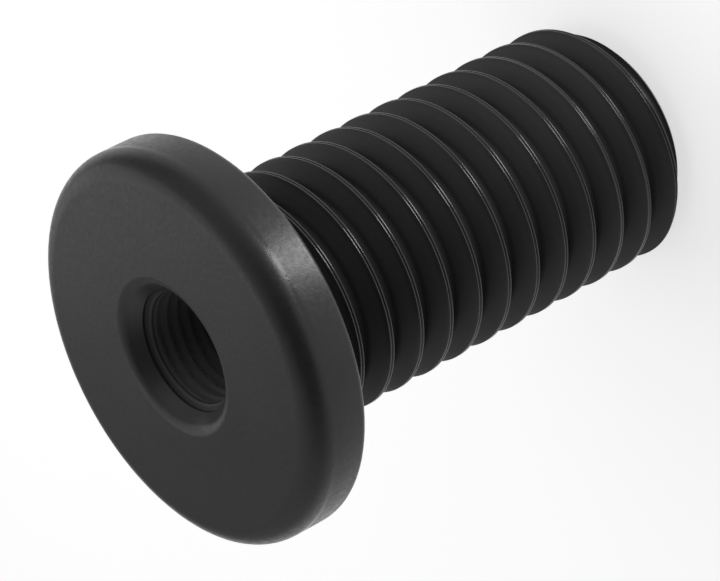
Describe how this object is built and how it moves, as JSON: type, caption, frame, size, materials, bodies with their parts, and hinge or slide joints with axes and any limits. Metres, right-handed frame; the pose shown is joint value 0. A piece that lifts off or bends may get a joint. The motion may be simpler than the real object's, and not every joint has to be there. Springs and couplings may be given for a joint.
{
  "type": "threaded stud",
  "caption": "Black steel stud with a flat round head that is tapped for a screw, and a coarse outside thread that runs to a bevelled tip.",
  "frame": {"origin": "on the axis, in the plane of the head's seat", "axes": "+Z along the axis, out of the head's face; the shank points along -Z"},
  "size_m": [0.016, 0.016, 0.0225],
  "materials": {
    "blackened_steel": "satin black"
  },
  "bodies": {
    "root": {"threaded_stud": "blackened_steel"}
  },
  "joints": []
}
